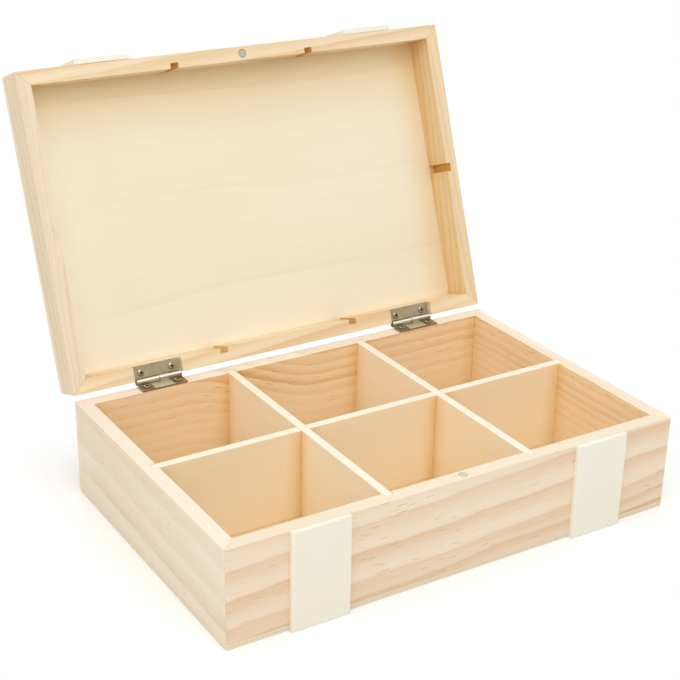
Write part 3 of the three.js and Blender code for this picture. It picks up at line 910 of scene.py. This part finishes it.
# studio: pale floor, white surround, soft boxes
studio = {
    "floorSide": 12.0, "floorDrop": 0.2, "floorSeen": "#FDFDFC", "floorBounce": "#E4E4E3",
    "shadowReach": 0.08, "skyRise": (-0.1, 0.8), "skyLow": 0.3, "skyHigh": 1.05,
}
white = (1.0, 1.0, 1.0, 1.0)


def seenRays(tree, ray):
    # what the camera sees, straight, in metal or through glass
    seen = calc(tree, "MAXIMUM", ray.outputs["Is Camera Ray"], ray.outputs["Is Glossy Ray"])
    return calc(tree, "MAXIMUM", seen, ray.outputs["Is Transmission Ray"])


def makeFloor():
    side = studio["floorSide"] / 2
    mesh = bpy.data.meshes.new("floor")
    corners = [(-side, -side, 0), (side, -side, 0), (side, side, 0), (-side, side, 0)]
    mesh.from_pydata(corners, [], [(0, 1, 2, 3)])
    floor = bpy.data.objects.new("floor", mesh)
    bpy.context.collection.objects.link(floor)
    floor.location.z = -studio["floorDrop"] * mm
    finish = bpy.data.materials.new("floorPaper")
    finish.use_nodes = True
    tree = finish.node_tree
    tree.nodes.clear()
    ray = addNode(tree, "LightPath")
    bounce, seen = srgb(studio["floorBounce"]), srgb(studio["floorSeen"])
    tone = mixColour(tree, ray.outputs["Is Camera Ray"], bounce, seen)
    paper = addNode(tree, "BsdfDiffuse", {"Color": tone})
    glow = addNode(tree, "Emission", {"Color": white, "Strength": 1.0})
    # the shadow shows round the foot of the chest and fades into white paper
    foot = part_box("bottom_panel")[1]
    off = vectorCalc(tree, "ABSOLUTE", addNode(tree, "TexCoord").outputs["Object"])
    off = vectorCalc(tree, "SUBTRACT", off, (foot[0], foot[1], 0.0))
    off = vectorCalc(tree, "MAXIMUM", off, (0.0, 0.0, 0.0))
    far = spread(tree, vectorCalc(tree, "LENGTH", off), 0.0, studio["shadowReach"], smooth=True)
    far = calc(tree, "MULTIPLY", far, seenRays(tree, ray))
    blend = addNode(tree, "MixShader", {0: far, 1: paper.outputs[0], 2: glow.outputs[0]})
    out = addNode(tree, "OutputMaterial")
    tree.links.new(blend.outputs[0], out.inputs["Surface"])
    mesh.materials.append(finish)


def makeSurround():
    world = bpy.data.worlds.new("studioSurround")
    bpy.context.scene.world = world
    world.use_nodes = True
    tree = world.node_tree
    tree.nodes.clear()
    upward = axisOf(tree, addNode(tree, "TexCoord").outputs["Generated"], "Z")
    glow = spread(tree, upward, *studio["skyRise"], studio["skyLow"], studio["skyHigh"], smooth=True)
    room = addNode(tree, "Background", {"Color": white, "Strength": glow})
    backdrop = addNode(tree, "Background", {"Color": white, "Strength": 1.0})
    seen = seenRays(tree, addNode(tree, "LightPath"))
    blend = addNode(tree, "MixShader", {0: seen, 1: room.outputs[0], 2: backdrop.outputs[0]})
    out = addNode(tree, "OutputWorld")
    tree.links.new(blend.outputs[0], out.inputs["Surface"])


softBoxes = {
    "topFront": {"place": (-0.15, -0.85, 1.1), "aim": (0.0, 0.0, 0.0), "side": 0.9, "watts": 3.8},
    "left": {"place": (-1.6, -0.6, 0.9), "aim": (0.0, 0.0, 0.1), "side": 1.4, "watts": 6.6},
}


def makeSoftBox(name, box):
    lamp = bpy.data.lights.new(name, "AREA")
    lamp.shape = "SQUARE"
    lamp.size = box["side"]
    lamp.energy = box["watts"]
    rig = bpy.data.objects.new(name, lamp)
    bpy.context.collection.objects.link(rig)
    rig.visible_camera = False
    rig.location = box["place"]
    rig.rotation_mode = "QUATERNION"
    rig.rotation_quaternion = (Vector(box["aim"]) - Vector(box["place"])).to_track_quat("-Z", "Y")


makeFloor()
makeSurround()
for name, box in softBoxes.items():
    makeSoftBox(name, box)
print("studio set")

# camera: looking down on the open chest from the front left
photoCamera = {
    "place": (-0.4376, -0.6602, 0.4514), "azimuth": -32.08, "elevation": 23.63, "roll": 1.13,
    "lens": 78.1, "sensor": 36.0, "nearest": 0.01,
}


def makeCamera(view):
    turn, rise, roll = (math.radians(view[k]) for k in ("azimuth", "elevation", "roll"))
    back = Vector((math.sin(turn) * math.cos(rise), -math.cos(turn) * math.cos(rise), math.sin(rise)))
    level = Vector((math.cos(turn), math.sin(turn), 0.0))
    upright = back.cross(level)
    right = math.cos(roll) * level + math.sin(roll) * upright
    up = back.cross(right)
    lens = bpy.data.cameras.new("photoCamera")
    lens.sensor_width = view["sensor"]
    lens.lens = view["lens"]
    lens.clip_start = view["nearest"]
    camera = bpy.data.objects.new("photoCamera", lens)
    bpy.context.collection.objects.link(camera)
    camera.matrix_world = Matrix.Translation(view["place"]) @ Matrix((right, up, back)).transposed().to_4x4()
    bpy.context.scene.camera = camera


makeCamera(photoCamera)
bpy.context.scene.view_settings.view_transform = "Standard"
print("camera set")
